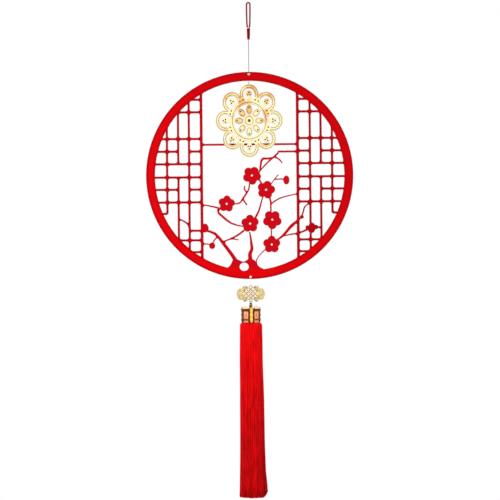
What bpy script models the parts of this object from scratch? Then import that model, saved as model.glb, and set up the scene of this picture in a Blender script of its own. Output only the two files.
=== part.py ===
"""Round window hanging cut from red flocked board, with a gold plate, a gold cord knot and a tassel.

It hangs by the loop at its top. Sizes here are in millimetres, with the origin at the inside top
of that loop, Z up, X to the right and the front facing -Y. Each mesh is scaled to metres once.
"""

import math
import random
from collections import namedtuple

import bmesh
import bpy
from mathutils import Matrix, Vector, geometry

MM = 0.001
TOUCH_GAP = 0.3

# Hanging loop, whipping and thread
LOOP_CORD = 2.3
LOOP_HALF_WIDTH = 2.3
WRAP_TOP_Z = -32.7
WRAP_BOTTOM_Z = -49.2
WRAP_RADIUS = 2.5
WRAP_TURNS = 11
THREAD = 0.8

# Disc
DISC_Z = -232.4
DISC_RADIUS = 140.0
RIM_BAND = 12.0
SHEET = 3.0
THREAD_HOLE_RADIUS = 1.6
THREAD_HOLE_FROM_RIM = 2.9

# Window lattice
POST_X = 65.0
POST_WIDTH = 3.8
BAR_WIDTH = 3.0
SUPPORT_WIDTH = 2.6
COLUMN_2_X = 81.7
COLUMN_3_X = 96.3
COLUMN_4_X = 111.5

# Blossoms
PETAL_COUNT = 5
PETAL_REACH = 0.55
PETAL_SIZE = 0.45
PISTIL_HOLE_RADIUS = 1.4

# Gold plate
PLATE_Z = 73.9
PLATE_WIDTH = 91.0
PLATE_HEIGHT = 99.0
PLATE_THICKNESS = 2.4
LOBES = 8

# Gold knot
KNOT_Z = -392.2
CORD_PAIR = 3.3
CORD_PAIR_PITCH = 4.2
CORD_PAIRS = 4
CORD_PAIR_END = 0.3
KNOT_THICKNESS = 3.0
KNOT_EYE_Z = 8.6
KNOT_EYE_RADIUS = 1.3
KNOT_EYE_BAND = 1.4

# Bead, cap and tassel
BEAD_RADIUS = 2.3
BEAD_SECOND = 2.1
BEAD_TOP_Z = -403.9
CAP_TOP_Z = -410.3
CAP_TURN = math.radians(3.5)
CAP_POSTS = 4
POST_CIRCLE = 11.0
CAP_POST_RADIUS = 2.4
CAP_PLATE_TOP_Z = -412.2
CAP_PLATE_BOTTOM_Z = -415.2
CAP_RAIL_TOP_Z = -426.2
CAP_RAIL_BOTTOM_Z = -428.0
CAP_FOOT_Z = -431.2
PANEL_APOTHEM = 10.3
PANEL_HALF_WIDTH = 4.3
NOTCH_APOTHEM = 8.3
NOTCH_HALF_WIDTH = 3.0
TASSEL_HEAD_TOP_Z = -431.5
TASSEL_ROOT_Z = -432.3
TASSEL_ROOT_RADIUS = 13.2
TASSEL_END_Z = -666.6
TASSEL_RINGS = 6
STRAND_INSET = 0.17
UNEVEN_END = 1.6


# Outlines in the plane of the disc, as counter-clockwise (x, z) points


def circle(x, z, radius, sides, stretch_x=1.0, stretch_z=1.0, turn=0.0):
    angles = [turn + 2 * math.pi * k / sides for k in range(sides)]
    return [
        (x + stretch_x * radius * math.cos(a), z + stretch_z * radius * math.sin(a))
        for a in angles
    ]


def bar(x0, z0, x1, z1, width):
    return ribbon([(x0, z0), (x1, z1)], width, width)


def ribbon(bends, start_width, end_width):
    """A strip along the bends whose width changes evenly from start to end, with mitred corners."""
    line = [Vector(p) for p in bends]
    spans = [(b - a).normalized() for a, b in zip(line, line[1:])]
    along = [0.0]
    for a, b in zip(line, line[1:]):
        along.append(along[-1] + (b - a).length)
    right, left = [], []
    for k, point in enumerate(line):
        before = spans[max(k - 1, 0)]
        after = spans[min(k, len(spans) - 1)]
        middle = (before + after).normalized()
        across = Vector((-middle.y, middle.x)) / max(0.6, middle.dot(after))
        half = (start_width + (end_width - start_width) * along[k] / along[-1]) / 2
        right.append(tuple(point - across * half))
        left.append(tuple(point + across * half))
    return right + left[::-1]


def arc_band(x, z, inner, outer, start, end, steps):
    """A piece of a flat ring between two angles. Two such pieces that share an end make one ring."""
    angles = [start + (end - start) * k / steps for k in range(steps + 1)]
    rim = [(x + outer * math.cos(a), z + outer * math.sin(a)) for a in angles]
    return rim + [(x + inner * math.cos(a), z + inner * math.sin(a)) for a in angles[::-1]]


def halves(x, z, inner, outer, steps, turn=0.0):
    """A whole flat ring, as two half rings."""
    starts = (turn, turn + math.pi)
    return [arc_band(x, z, inner, outer, start, start + math.pi, steps) for start in starts]


# Flat pieces cut from those outlines


def fill(adds, cuts, tolerance=1e-4):
    """Points and triangles of what the outlines in adds cover, without what those in cuts cover."""
    points, faces = [], []
    for outline in adds + cuts:
        faces.append(list(range(len(points), len(points) + len(outline))))
        points.extend(Vector(p) for p in outline)
    found = geometry.delaunay_2d_cdt(points, [], faces, 1, tolerance)
    kept = [
        tuple(triangle)
        for triangle, sources in zip(found[2], found[5])
        if any(s < len(adds) for s in sources) and not any(s >= len(adds) for s in sources)
    ]
    return found[0], kept


def rims(points, triangles):
    """The closed outlines round a filled region, outer ones counter-clockwise and holes clockwise."""
    edges = {(t[k], t[(k + 1) % 3]) for t in triangles for k in range(3)}
    following = {a: b for a, b in edges if (b, a) not in edges}
    loops = []
    while following:
        start, end = following.popitem()
        loop = [start]
        while end != start:
            loop.append(end)
            end = following.pop(end)
        loops.append([points[k] for k in loop])
    return loops


def tidied(loop, flat=0.012, short=0.15):
    """The loop without points that lie on a straight run or almost on each other."""
    changed = True
    while changed and len(loop) > 3:
        changed = False
        for k in range(len(loop)):
            before, here, after = loop[k - 1], loop[k], loop[(k + 1) % len(loop)]
            run = after - before
            off = abs(run.x * (here - before).y - run.y * (here - before).x) / max(run.length, 1e-6)
            if off < flat or (here - before).length < short:
                loop = loop[:k] + loop[k + 1 :]
                changed = True
                break
    return loop


def area(loop):
    return sum(a.x * b.y - b.x * a.y for a, b in zip(loop, loop[1:] + loop[:1])) / 2


def raised_face(shape, faces, lift):
    """Makes a closed solid of flat faces by raising a copy of them by the vector lift."""
    raised = bmesh.ops.extrude_face_region(shape, geom=faces)["geom"]
    moved = [v for v in raised if isinstance(v, bmesh.types.BMVert)]
    bmesh.ops.translate(shape, verts=moved, vec=lift)
    bmesh.ops.recalc_face_normals(shape, faces=shape.faces)


def cut_plate(adds, cuts, back, front, centre_z):
    """A flat plate between the planes y = back and y = front."""
    loops = [tidied(loop) for loop in rims(*fill(adds, cuts))]
    outer = [loop for loop in loops if area(loop) > 0]
    holes = [loop[::-1] for loop in loops if area(loop) < 0]
    points, triangles = fill(outer, holes)
    shape = bmesh.new()
    corners = [shape.verts.new((p.x, back, centre_z + p.y)) for p in points]
    faces = [shape.faces.new([corners[k] for k in triangle]) for triangle in triangles]
    raised_face(shape, faces, (0, front - back, 0))
    return shape


# Turned pieces and cords


def turned(profile, sides, turn=0.0, ring=False):
    """A turned solid from (radius, z) pairs, closed flat at its ends, or a ring with that section."""
    shape = bmesh.new()
    angles = [turn + 2 * math.pi * k / sides for k in range(sides)]
    rounds = [[shape.verts.new((r * math.cos(a), r * math.sin(a), z)) for a in angles] for r, z in profile]
    steps = list(zip(rounds, rounds[1:] + rounds[:1])) if ring else list(zip(rounds, rounds[1:]))
    for upper, lower in steps:
        for k in range(sides):
            after = (k + 1) % sides
            shape.faces.new((upper[k], lower[k], lower[after], upper[after]))
    if not ring:
        shape.faces.new(rounds[0])
        shape.faces.new(rounds[-1][::-1])
    bmesh.ops.recalc_face_normals(shape, faces=shape.faces)
    return shape


def smooth_route(stations, count):
    """Points evenly spaced along a smooth curve through the stations."""
    line = [Vector(p) for p in stations]
    line = [2 * line[0] - line[1], *line, 2 * line[-1] - line[-2]]
    fine = []
    for p0, p1, p2, p3 in zip(line, line[1:], line[2:], line[3:]):
        for step in range(24):
            t = step / 24
            fine.append(
                0.5 * (2 * p1 + (p2 - p0) * t + (2 * p0 - 5 * p1 + 4 * p2 - p3) * t**2)
                + 0.5 * (3 * p1 - p0 - 3 * p2 + p3) * t**3
            )
    fine.append(line[-2])
    along = [0.0]
    for a, b in zip(fine, fine[1:]):
        along.append(along[-1] + (b - a).length)
    spaced, k = [], 0
    for n in range(count):
        target = along[-1] * n / (count - 1)
        while k < len(fine) - 2 and along[k + 1] < target:
            k += 1
        share = (target - along[k]) / (along[k + 1] - along[k])
        spaced.append(fine[k].lerp(fine[k + 1], share))
    return spaced


# Objects


def finish(name, colour, roughness, metallic=0.0):
    material = bpy.data.materials.new(name)
    material.use_nodes = True
    shader = material.node_tree.nodes["Principled BSDF"]
    shader.inputs["Base Color"].default_value = (*colour, 1.0)
    shader.inputs["Roughness"].default_value = roughness
    shader.inputs["Metallic"].default_value = metallic
    material.diffuse_color = (*colour, 1.0)
    return material


def place(name, shape, material, smooth_angle=None):
    """Turns a shape in millimetres into an object in metres."""
    bmesh.ops.scale(shape, vec=(MM, MM, MM), verts=shape.verts)
    mesh = bpy.data.meshes.new(name)
    shape.to_mesh(mesh)
    shape.free()
    if smooth_angle is not None:
        mesh.shade_smooth()
        mesh.set_sharp_from_angle(angle=math.radians(smooth_angle))
    piece = bpy.data.objects.new(name, mesh)
    piece.data.materials.append(material)
    bpy.context.scene.collection.objects.link(piece)
    return piece


def place_cord(name, route, diameter, material, closed=False):
    """A cord as a bevelled curve through the route's points."""
    curve = bpy.data.curves.new(name, "CURVE")
    curve.dimensions = "3D"
    curve.bevel_depth = diameter * MM / 2
    curve.bevel_resolution = 2
    curve.render_resolution_u = 0
    curve.use_fill_caps = not closed
    spline = curve.splines.new("POLY")
    spline.points.add(len(route) - 1)
    for point, at in zip(spline.points, route):
        point.co = (*(Vector(at) * MM), 1.0)
    spline.use_cyclic_u = closed
    piece = bpy.data.objects.new(name, curve)
    curve.materials.append(material)
    bpy.context.scene.collection.objects.link(piece)
    return piece


def join_solid(piece, tool_shape, name):
    """Unites a hidden solid with the piece."""
    tool = place(name, tool_shape, piece.data.materials[0])
    tool.hide_render = True
    tool.display_type = "WIRE"
    joint = piece.modifiers.new(name, "BOOLEAN")
    joint.operation = "UNION"
    joint.solver = "EXACT"
    joint.object = tool


def merged(shapes):
    """One bmesh that holds several closed shapes."""
    whole = bmesh.new()
    for shape in shapes:
        mesh = bpy.data.meshes.new("part")
        shape.to_mesh(mesh)
        shape.free()
        whole.from_mesh(mesh)
        bpy.data.meshes.remove(mesh)
    return whole


# Hanging loop: a cord bent over, its two ends held in the whipping


LOOP_POINTS = 40
THREAD_POINTS = 42
WRAP_TAPER = 0.24
WRAP_GROOVE = 0.86


def make_hanger(red_cord, red_thread):
    foot = WRAP_TOP_Z + TOUCH_GAP
    top = LOOP_CORD / 2
    leg = (LOOP_CORD + TOUCH_GAP) / 2
    side = [
        (leg, foot),
        (LOOP_HALF_WIDTH * 0.74, foot + 2.6),
        (LOOP_HALF_WIDTH * 0.9, foot + 8),
        (LOOP_HALF_WIDTH, top - 8),
        (LOOP_HALF_WIDTH * 0.78, top - 1.1),
    ]
    stations = [(-x, 0, z) for x, z in side] + [(0, 0, top)] + [(x, 0, z) for x, z in side[::-1]]
    place_cord("hanger_loop", smooth_route(stations, LOOP_POINTS), LOOP_CORD, red_cord)

    height = WRAP_TOP_Z - WRAP_BOTTOM_Z
    profile = [(WRAP_RADIUS * 0.72, WRAP_TOP_Z)]
    for turn in range(WRAP_TURNS):
        crest_z = WRAP_TOP_Z - height * (turn + 0.5) / WRAP_TURNS
        groove_z = WRAP_TOP_Z - height * (turn + 1) / WRAP_TURNS
        radius = WRAP_RADIUS * (1.0 - WRAP_TAPER * turn / WRAP_TURNS)
        profile.append((radius, crest_z))
        profile.append((radius * WRAP_GROOVE, groove_z))
    place("hanger_wrap", turned(profile, 10), red_cord, 60)

    bend = SHEET / 2 + TOUCH_GAP + THREAD / 2
    hole_edge = DISC_Z + DISC_RADIUS - THREAD_HOLE_FROM_RIM + THREAD_HOLE_RADIUS
    side = [
        ((THREAD + TOUCH_GAP) / 2, WRAP_BOTTOM_Z - TOUCH_GAP),
        ((THREAD + TOUCH_GAP) / 2 + 0.2, WRAP_BOTTOM_Z - 8),
        (bend * 0.75, hole_edge + 18),
        (bend, hole_edge + 2),
    ]
    under = [
        (0, -bend * math.cos(math.radians(a)), hole_edge - bend * math.sin(math.radians(a)))
        for a in (0, 30, 60, 90, 120, 150, 180)
    ]
    stations = [(0, -y, z) for y, z in side] + under + [(0, y, z) for y, z in side[::-1]]
    place_cord("hanger_thread", smooth_route(stations, THREAD_POINTS), THREAD, red_thread)


# The disc: rim, lattice, branches and blossoms are one cut sheet

Row = namedtuple("Row", "z start end sides")
ROWS = (
    Row(103.0, POST_X, 78.0, "both"),
    Row(86.0, POST_X, 97.0, "both"),
    Row(50.0, POST_X, 120.0, "both"),
    Row(33.0, POST_X, COLUMN_2_X, "both"),
    Row(33.0, COLUMN_3_X, 125.0, "both"),
    Row(16.0, POST_X, 130.0, "both"),
    Row(-1.9, POST_X, 130.0, "both"),
    Row(-18.5, POST_X, COLUMN_2_X, "both"),
    Row(-18.5, COLUMN_3_X, 130.0, "both"),
    Row(-35.7, POST_X, 126.0, "both"),
    Row(-51.0, COLUMN_4_X, 120.0, "both"),
    Row(-74.0, POST_X, COLUMN_2_X, "left"),
    Row(-87.0, POST_X, 97.0, "both"),
    Row(-103.0, POST_X, 78.0, "both"),
)
Column = namedtuple("Column", "x top bottom width")
COLUMNS = (
    Column(POST_X, 118.0, -118.0, POST_WIDTH),
    Column(COLUMN_2_X, 105.0, -105.0, BAR_WIDTH),
    Column(COLUMN_3_X, 91.0, 16.0, BAR_WIDTH),
    Column(COLUMN_3_X, -1.9, -91.0, BAR_WIDTH),
    Column(COLUMN_4_X, 68.0, -51.0, BAR_WIDTH),
)

Branch = namedtuple("Branch", "name start_width end_width bends")
BRANCHES = (
    Branch("left trunk", 5.4, 3.6, ((-19, -116), (-27.5, -103), (-37, -91), (-43, -82.5), (-48.5, -77.5))),
    Branch("left trunk end", 3.6, 2.6, ((-48, -78), (-55, -75), (-65, -73))),
    Branch("middle trunk", 6.0, 3.6, ((0.5, -116), (-1, -106), (2.5, -99.5), (1.5, -93))),
    Branch("middle trunk top", 3.6, 1.8, ((1.5, -94), (0.8, -84), (-1, -76))),
    Branch("branch to the low blossom", 1.8, 2.8, ((-38, -90), (-26, -85), (-18, -81.5), (-8, -74))),
    Branch("its side twig", 2.0, 1.4, ((-25, -85), (-15.5, -87))),
    Branch("branch up to the left blossom", 1.6, 3.2, ((-8, -69), (-21, -66.5), (-29, -62.5), (-36, -56))),
    Branch("left blossom's elbow", 3.2, 2.6, ((-35.5, -56.5), (-42.5, -50.5), (-43.3, -46.5), (-36, -42))),
    Branch("twig to the left post", 2.6, 1.6, ((-41.5, -44), (-52.5, -41), (-65, -39))),
    Branch("branch to the high blossom", 1.6, 2.4, ((-25, -39), (-15, -37.5), (-12.5, -36), (-9.5, -31))),
    Branch("its upper stretch", 2.6, 1.8, ((-9.7, -31.5), (-4, -23.5), (-1.5, -19), (0.5, -8))),
    Branch("its lower spur", 2.2, 2.0, ((-9.5, -32), (-4, -40))),
    Branch("its upper spur", 2.0, 1.8, ((-4, -23), (-7.5, -18.5), (-6.8, -14))),
    Branch("right rise", 3.2, 1.6, ((3, -64), (10.5, -51.5), (13.5, -44), (15, -37), (18.5, -26))),
    Branch("high crook", 1.8, 3.2, ((10, -2), (14, 7), (15, 13.5), (15.8, 20), (18.5, 22.8))),
    Branch("high crook end", 3.0, 1.6, ((18, 22.8), (26.5, 22.6), (34, 24.6), (40, 22), (44, 16.5))),
    Branch("high arc", 1.5, 2.6, ((12, 3.5), (20, 13.2), (26.5, 19.5), (33, 25), (39, 30.5))),
    Branch("join of the high blossoms", 2.4, 2.4, ((11, -3), (14, -7.5), (17, -13))),
    Branch("bud twig", 1.5, 1.2, ((25, -16), (29.5, -11), (33.5, -5), (39, 1))),
    Branch("bud stalk", 1.4, 2.0, ((33.4, -5.6), (43.5, -5), (48, -6))),
    Branch("long drop", 2.6, 2.0, ((25.5, -25), (28.2, -36), (28.2, -54))),
    Branch("right post twig", 2.2, 1.4, ((28, -39), (36, -33), (43, -30), (57.5, -26.5), (65, -25))),
    Branch("short drop", 1.8, 1.8, ((29, -66), (28.4, -86))),
    Branch("bough", 2.0, 4.6, ((31, -91), (41.5, -84), (47.5, -78.5), (52.5, -72), (57, -67.5))),
    Branch("bough end", 4.4, 3.0, ((56.5, -68), (66, -60))),
    Branch("window bough", 1.5, 3.0, ((44, -82.5), (54.5, -79.8), (64, -79), (72, -76), (80, -72))),
    Branch("window twig", 2.4, 1.6, ((65, -61), (69.5, -57), (72, -49.5), (73.5, -43), (81.7, -36.5))),
    Branch("window blossom tail", 3.4, 2.4, ((84, -71.5), (90, -70), (96.3, -71.5))),
    Branch("left window twig", 2.0, 2.8, ((-96.3, -58), (-89, -61), (-83.5, -65.5), (-80.5, -74))),
    Branch("left bud stalk", 2.0, 1.6, ((-44, -82), (-49, -87.5), (-51, -92))),
    Branch("left bud link", 1.6, 1.6, ((-65, -91.5), (-51, -93))),
    Branch("low twig", 1.6, 1.2, ((24, -97), (13.5, -106), (8, -114), (9, -125))),
)
ROOT_MOUND = (
    (-30, -130), (17, -130), (18, -126.5), (11, -123), (6.5, -115), (-1, -112),
    (-9.5, -116.8), (-17, -113.5), (-23, -112), (-27, -121), (-30.5, -124),
)

Blossom = namedtuple("Blossom", "x z radius turn")
BLOSSOMS = (
    Blossom(3.0, 0.0, 12.6, 60),
    Blossom(22.0, -19.5, 12.4, 75),
    Blossom(-31.5, -38.0, 11.4, 85),
    Blossom(0.0, -65.0, 12.2, 92),
    Blossom(30.0, -60.0, 13.0, 54),
    Blossom(29.0, -93.5, 12.0, 90),
)
Bud = namedtuple("Bud", "x z half_width half_height")
BUDS = (
    Bud(49.5, -6.5, 4.3, 6.2),
    Bud(-51.5, -94.5, 4.2, 4.6),
    Bud(70.0, -56.5, 2.8, 2.6),
    Bud(-61.5, -70.5, 5.6, 6.2),
)


def blossom(flower):
    """The petals and the middle of one open blossom, as outlines that overlap."""
    reach = flower.radius * PETAL_REACH
    petals = []
    for k in range(PETAL_COUNT):
        angle = math.radians(flower.turn) + 2 * math.pi * k / PETAL_COUNT
        x = flower.x + reach * math.cos(angle)
        z = flower.z + reach * math.sin(angle)
        petals.append(circle(x, z, flower.radius * PETAL_SIZE, 14, turn=angle))
    return [*petals, circle(flower.x, flower.z, flower.radius * PETAL_REACH, 10)]


def side_blossom(x, z):
    """A blossom seen from its side: a low cup and three petals standing on it."""
    petals = ((-5.4, 1.2, 3.0), (0.4, 3.6, 4.2), (5.8, 1.6, 3.2), (0.0, -1.6, 5.0))
    return [circle(x + dx, z + dz, r, 12) for dx, dz, r in petals]


def make_disc(red_flock):
    parts = halves(0, 0, DISC_RADIUS - RIM_BAND, DISC_RADIUS, 72)
    for side in (-1, 1):
        for column in COLUMNS:
            x = side * column.x
            parts.append(bar(x, column.bottom, x, column.top, column.width))
        for row in ROWS:
            if row.sides == "both" or side < 0:
                parts.append(bar(side * row.start, row.z, side * row.end, row.z, BAR_WIDTH))
    parts.append(bar(-POST_X, 42.0, POST_X, 42.0, SUPPORT_WIDTH))
    parts.append(bar(38.0, 32.0, POST_X, 32.0, SUPPORT_WIDTH))
    parts += [ribbon(b.bends, b.start_width, b.end_width) for b in BRANCHES]
    parts.append(list(ROOT_MOUND))
    for flower in BLOSSOMS:
        parts += blossom(flower)
    parts += side_blossom(83.0, -72.0)
    parts += [circle(b.x, b.z, 1.0, 14, b.half_width, b.half_height) for b in BUDS]
    hole_z = DISC_RADIUS - THREAD_HOLE_FROM_RIM
    holes = [circle(0, s * hole_z, THREAD_HOLE_RADIUS, 12, turn=math.pi / 12) for s in (-1, 1)]
    holes += [circle(f.x, f.z, PISTIL_HOLE_RADIUS, 8) for f in BLOSSOMS]
    holes.append(circle(-8.5, -123.3, 1.0, 18, 6.2, 5.6))
    place("disc", cut_plate(parts, holes, SHEET / 2, -SHEET / 2, DISC_Z), red_flock)


# Gold plate: a rosette of eight cloud lobes round an eight-petalled flower

PLATE_BAND = 5.8
LOBE_DISTANCE = 34.0
LOBE_RADIUS = 14.0
LOBE_OPENING = math.radians(52)
PLATE_RING_RADIUS = 26.2
PLATE_RING_BAND = 4.2
PLATE_CURL_RADIUS = 3.6
PLATE_STEM = 3.4
PLATE_EYE_RADIUS = 8.0
BUD_RADIUS = 4.3
PETAL_DISTANCE = 14.5
PETAL_LENGTH = 13.0
PETAL_BREADTH = 9.4


def make_plate(gold_foil):
    parts = halves(0, 0, PLATE_RING_RADIUS - PLATE_RING_BAND, PLATE_RING_RADIUS, 16, math.pi / 8)
    for k in range(LOBES):
        angle = math.pi / 2 + 2 * math.pi * k / LOBES
        out = Vector((math.cos(angle), math.sin(angle)))
        lobe = out * LOBE_DISTANCE
        first = angle - math.pi + LOBE_OPENING
        last = angle + math.pi - LOBE_OPENING
        parts.append(arc_band(*lobe, LOBE_RADIUS - PLATE_BAND, LOBE_RADIUS, first, last, 14))
        for end in (first, last):
            curl = lobe + Vector((math.cos(end), math.sin(end))) * (LOBE_RADIUS - PLATE_BAND * 0.5)
            parts.append(circle(*curl, PLATE_CURL_RADIUS, 8))
        bud = out * (LOBE_DISTANCE + 1.5)
        parts.append(ribbon([out * (PLATE_RING_RADIUS - 1), bud], PLATE_STEM, 2 * BUD_RADIUS))
        parts.append(circle(*bud, BUD_RADIUS, 10))
        parts.append(ribbon([out * 5, out * (PLATE_RING_RADIUS - 2)], PLATE_STEM, PLATE_STEM))
        petal = circle(0, 0, 1.0, 10, PETAL_LENGTH / 2, PETAL_BREADTH / 2)
        across = Vector((-out.y, out.x))
        parts.append([tuple(out * (PETAL_DISTANCE + x) + across * z) for x, z in petal])
    parts.append(circle(0, 0, PLATE_EYE_RADIUS, 16))
    widest = LOBE_DISTANCE + LOBE_RADIUS
    fit_x = PLATE_WIDTH / 2 / widest
    fit_z = PLATE_HEIGHT / 2 / widest
    parts = [[(x * fit_x, z * fit_z) for x, z in outline] for outline in parts]
    back = -SHEET / 2 - TOUCH_GAP
    place("ornament", cut_plate(parts, [], back, back - PLATE_THICKNESS, DISC_Z + PLATE_Z), gold_foil)


def make_short_threads(red_thread, pale_thread):
    """The thread from the rim to the back of the gold plate, and the loop from the disc to the knot."""
    rim = DISC_RADIUS - RIM_BAND
    plate_back = -SHEET / 2 - TOUCH_GAP
    behind = plate_back + TOUCH_GAP + THREAD / 2
    route = [
        (0, 0, DISC_Z + rim - TOUCH_GAP - 0.4),
        (0, behind / 2, DISC_Z + rim - 3),
        (0, behind, DISC_Z + PLATE_Z + PLATE_HEIGHT / 2 - 1.0),
        (0, behind, DISC_Z + PLATE_Z + PLATE_HEIGHT / 2 - 3.6),
    ]
    place_cord("ornament_thread", smooth_route(route, 6), THREAD, red_thread)

    bend = SHEET / 2 + TOUCH_GAP + THREAD / 2
    upper = DISC_Z - DISC_RADIUS + THREAD_HOLE_FROM_RIM - THREAD_HOLE_RADIUS
    lower = KNOT_Z + KNOT_EYE_Z + KNOT_EYE_RADIUS + 0.8
    turns = [math.pi * k / 6 for k in range(7)]
    over = [(0, bend * math.cos(a), upper + bend * math.sin(a)) for a in turns]
    under = [(0, -bend * math.cos(a), lower - bend * math.sin(a)) for a in turns]
    place_cord("lower_thread", over + under, THREAD, pale_thread, closed=True)


# Gold knot: pairs of cord woven on the diagonal, with ear loops left and right

EAR_SIDES = 14
Ear = namedtuple("Ear", "x z outer_x outer_z hole_x hole_z")
EARS = (
    Ear(13.3, -0.4, 5.9, 8.0, 1.0, 3.0),
    Ear(7.7, 7.3, 3.9, 3.7, 1.2, 1.0),
    Ear(7.9, -7.2, 4.0, 3.6, 1.3, 1.0),
)


def ear_ring(ear, side):
    outer = circle(0, 0, 1.0, EAR_SIDES, ear.outer_x, ear.outer_z)
    inner = circle(0, 0, 1.0, EAR_SIDES, ear.hole_x, ear.hole_z)
    rings = []
    for half in (0, EAR_SIDES // 2):
        turn = [(half + k) % EAR_SIDES for k in range(EAR_SIDES // 2 + 1)]
        band = [outer[k] for k in turn] + [inner[k] for k in turn[::-1]]
        rings.append([(side * ear.x + x, ear.z + z) for x, z in band])
    return rings


def make_knot(gold_cord):
    parts = []
    reach = CORD_PAIR_PITCH * (CORD_PAIRS - 1) / 2
    turn = math.sqrt(0.5)
    for k in range(CORD_PAIRS):
        off = CORD_PAIR_PITCH * k - reach
        end = reach + CORD_PAIR / 2 + CORD_PAIR_END
        for mirror in (-1, 1):
            start = ((-end - off * mirror) * turn, (mirror * -end + off) * turn)
            finish_at = ((end - off * mirror) * turn, (mirror * end + off) * turn)
            parts.append(ribbon([start, finish_at], CORD_PAIR, CORD_PAIR))
    for side in (-1, 1):
        for ear in EARS:
            parts += ear_ring(ear, side)
    parts.append(circle(0, KNOT_EYE_Z, KNOT_EYE_RADIUS + KNOT_EYE_BAND, 12))
    eye = circle(0, KNOT_EYE_Z, KNOT_EYE_RADIUS, 10)
    half = KNOT_THICKNESS / 2
    place("gold_knot", cut_plate(parts, [eye], half, -half, KNOT_Z), gold_cord)


# Bead, and the cap's frame of four turned posts between an eight-sided top plate and rail

CAP_POST_NECK = 1.8
Turning = namedtuple("Turning", "radius z")
CAP_POST_PROFILE = (
    Turning(0.8, CAP_TOP_Z),
    Turning(1.6, CAP_TOP_Z - 0.6),
    Turning(1.3, CAP_TOP_Z - 1.7),
    Turning(CAP_POST_RADIUS, CAP_PLATE_TOP_Z),
    Turning(CAP_POST_RADIUS, CAP_PLATE_BOTTOM_Z - 0.6),
    Turning(CAP_POST_NECK, CAP_PLATE_BOTTOM_Z - 1.8),
    Turning(CAP_POST_RADIUS, (CAP_PLATE_BOTTOM_Z + CAP_RAIL_TOP_Z) / 2),
    Turning(CAP_POST_NECK, CAP_RAIL_TOP_Z + 1.6),
    Turning(CAP_POST_RADIUS, CAP_RAIL_TOP_Z + 0.4),
    Turning(CAP_POST_RADIUS, CAP_RAIL_BOTTOM_Z - 0.2),
    Turning(1.0, CAP_FOOT_Z),
)
CAP_SIDES = 8
RAIL_OUTER = 13.6
RAIL_INNER = 12.4
CREST_HEIGHT = 3.2
CREST_HALF_WIDTH = 4.7
CREST_SCALLOP = 1.6
CREST_WALL = 1.2
COLLAR_RADIUS = 2.6


def make_bead(dark_bead):
    upper = BEAD_TOP_Z - BEAD_RADIUS
    lower = BEAD_TOP_Z - BEAD_SECOND * BEAD_RADIUS
    neck = -math.degrees(math.asin((BEAD_SECOND - 1) / 2))
    profile = []
    for centre, turns in ((upper, (72, 40, 5, neck)), (lower, (0, -25, -48))):
        for degrees in turns:
            a = math.radians(degrees)
            profile.append((BEAD_RADIUS * math.cos(a), centre + BEAD_RADIUS * math.sin(a)))
    place("bead", turned(profile, 12), dark_bead, 50)


def crest(angle):
    """A low wall with three scallops, on the edge of the cap's top plate."""
    foot = CAP_PLATE_TOP_Z - 0.6
    outline = [(-CREST_HALF_WIDTH, foot), (CREST_HALF_WIDTH, foot)]
    side = CREST_HALF_WIDTH - CREST_SCALLOP
    for centre, height in ((side, 0.75), (0.0, 1.0), (-side, 0.75)):
        for degrees in (15, 65, 115, 165):
            a = math.radians(degrees)
            lift = CREST_HEIGHT * (height - 0.35) * math.sin(a) + CREST_HEIGHT * 0.35
            outline.append((centre + CREST_SCALLOP * math.cos(a), CAP_PLATE_TOP_Z + lift))
    shape = bmesh.new()
    apothem = RAIL_OUTER * math.cos(math.pi / CAP_SIDES) - 0.4
    face = shape.faces.new([shape.verts.new((apothem, s, z)) for s, z in outline])
    raised_face(shape, [face], (-CREST_WALL, 0, 0))
    bmesh.ops.rotate(shape, verts=shape.verts, cent=(0, 0, 0), matrix=Matrix.Rotation(angle, 3, "Z"))
    return shape


def make_cap(gold_metal, orange_enamel):
    corner = CAP_TURN + math.pi / CAP_SIDES
    plate = turned([(RAIL_OUTER, CAP_PLATE_TOP_Z), (RAIL_OUTER, CAP_PLATE_BOTTOM_Z)], CAP_SIDES, corner)
    rail_section = [
        (RAIL_OUTER, CAP_RAIL_TOP_Z),
        (RAIL_OUTER, CAP_RAIL_BOTTOM_Z),
        (RAIL_INNER, CAP_RAIL_BOTTOM_Z),
        (RAIL_INNER, CAP_RAIL_TOP_Z),
    ]
    rail = turned(rail_section, CAP_SIDES, corner, ring=True)
    frame = place("cap_frame", merged([plate, rail]), gold_metal)
    posts = []
    for k in range(CAP_POSTS):
        angle = CAP_TURN + 2 * math.pi * k / CAP_POSTS
        post = turned(CAP_POST_PROFILE, 8, angle)
        centre = (POST_CIRCLE * math.cos(angle), POST_CIRCLE * math.sin(angle), 0)
        bmesh.ops.translate(post, verts=post.verts, vec=centre)
        posts.append(post)
    join_solid(frame, merged(posts), "cap_posts")
    bead_foot = BEAD_TOP_Z - BEAD_RADIUS * (BEAD_SECOND + math.sin(math.radians(48)))
    collar = turned(
        [(COLLAR_RADIUS * 0.8, bead_foot - TOUCH_GAP), (COLLAR_RADIUS, CAP_PLATE_TOP_Z - 0.5)], 12
    )
    between = [CAP_TURN + math.pi * (2 * k + 1) / CAP_POSTS for k in range(CAP_POSTS)]
    crests = [crest(angle) for angle in between]
    join_solid(frame, merged([collar, *crests]), "cap_crest")

    corners = []
    for angle in between:
        for out_angle, apothem, half_width in (
            (angle - math.pi / CAP_POSTS, NOTCH_APOTHEM, NOTCH_HALF_WIDTH),
            (angle, PANEL_APOTHEM, PANEL_HALF_WIDTH),
        ):
            out = Vector((math.cos(out_angle), math.sin(out_angle)))
            half_side = Vector((-out.y, out.x)) * half_width
            corners += [out * apothem - half_side, out * apothem + half_side]
    core = bmesh.new()
    top = CAP_PLATE_BOTTOM_Z - TOUCH_GAP
    face = core.faces.new([core.verts.new((*c, top)) for c in corners])
    raised_face(core, [face], (0, 0, TASSEL_HEAD_TOP_Z + TOUCH_GAP - top))
    place("cap_core", core, orange_enamel)


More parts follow.
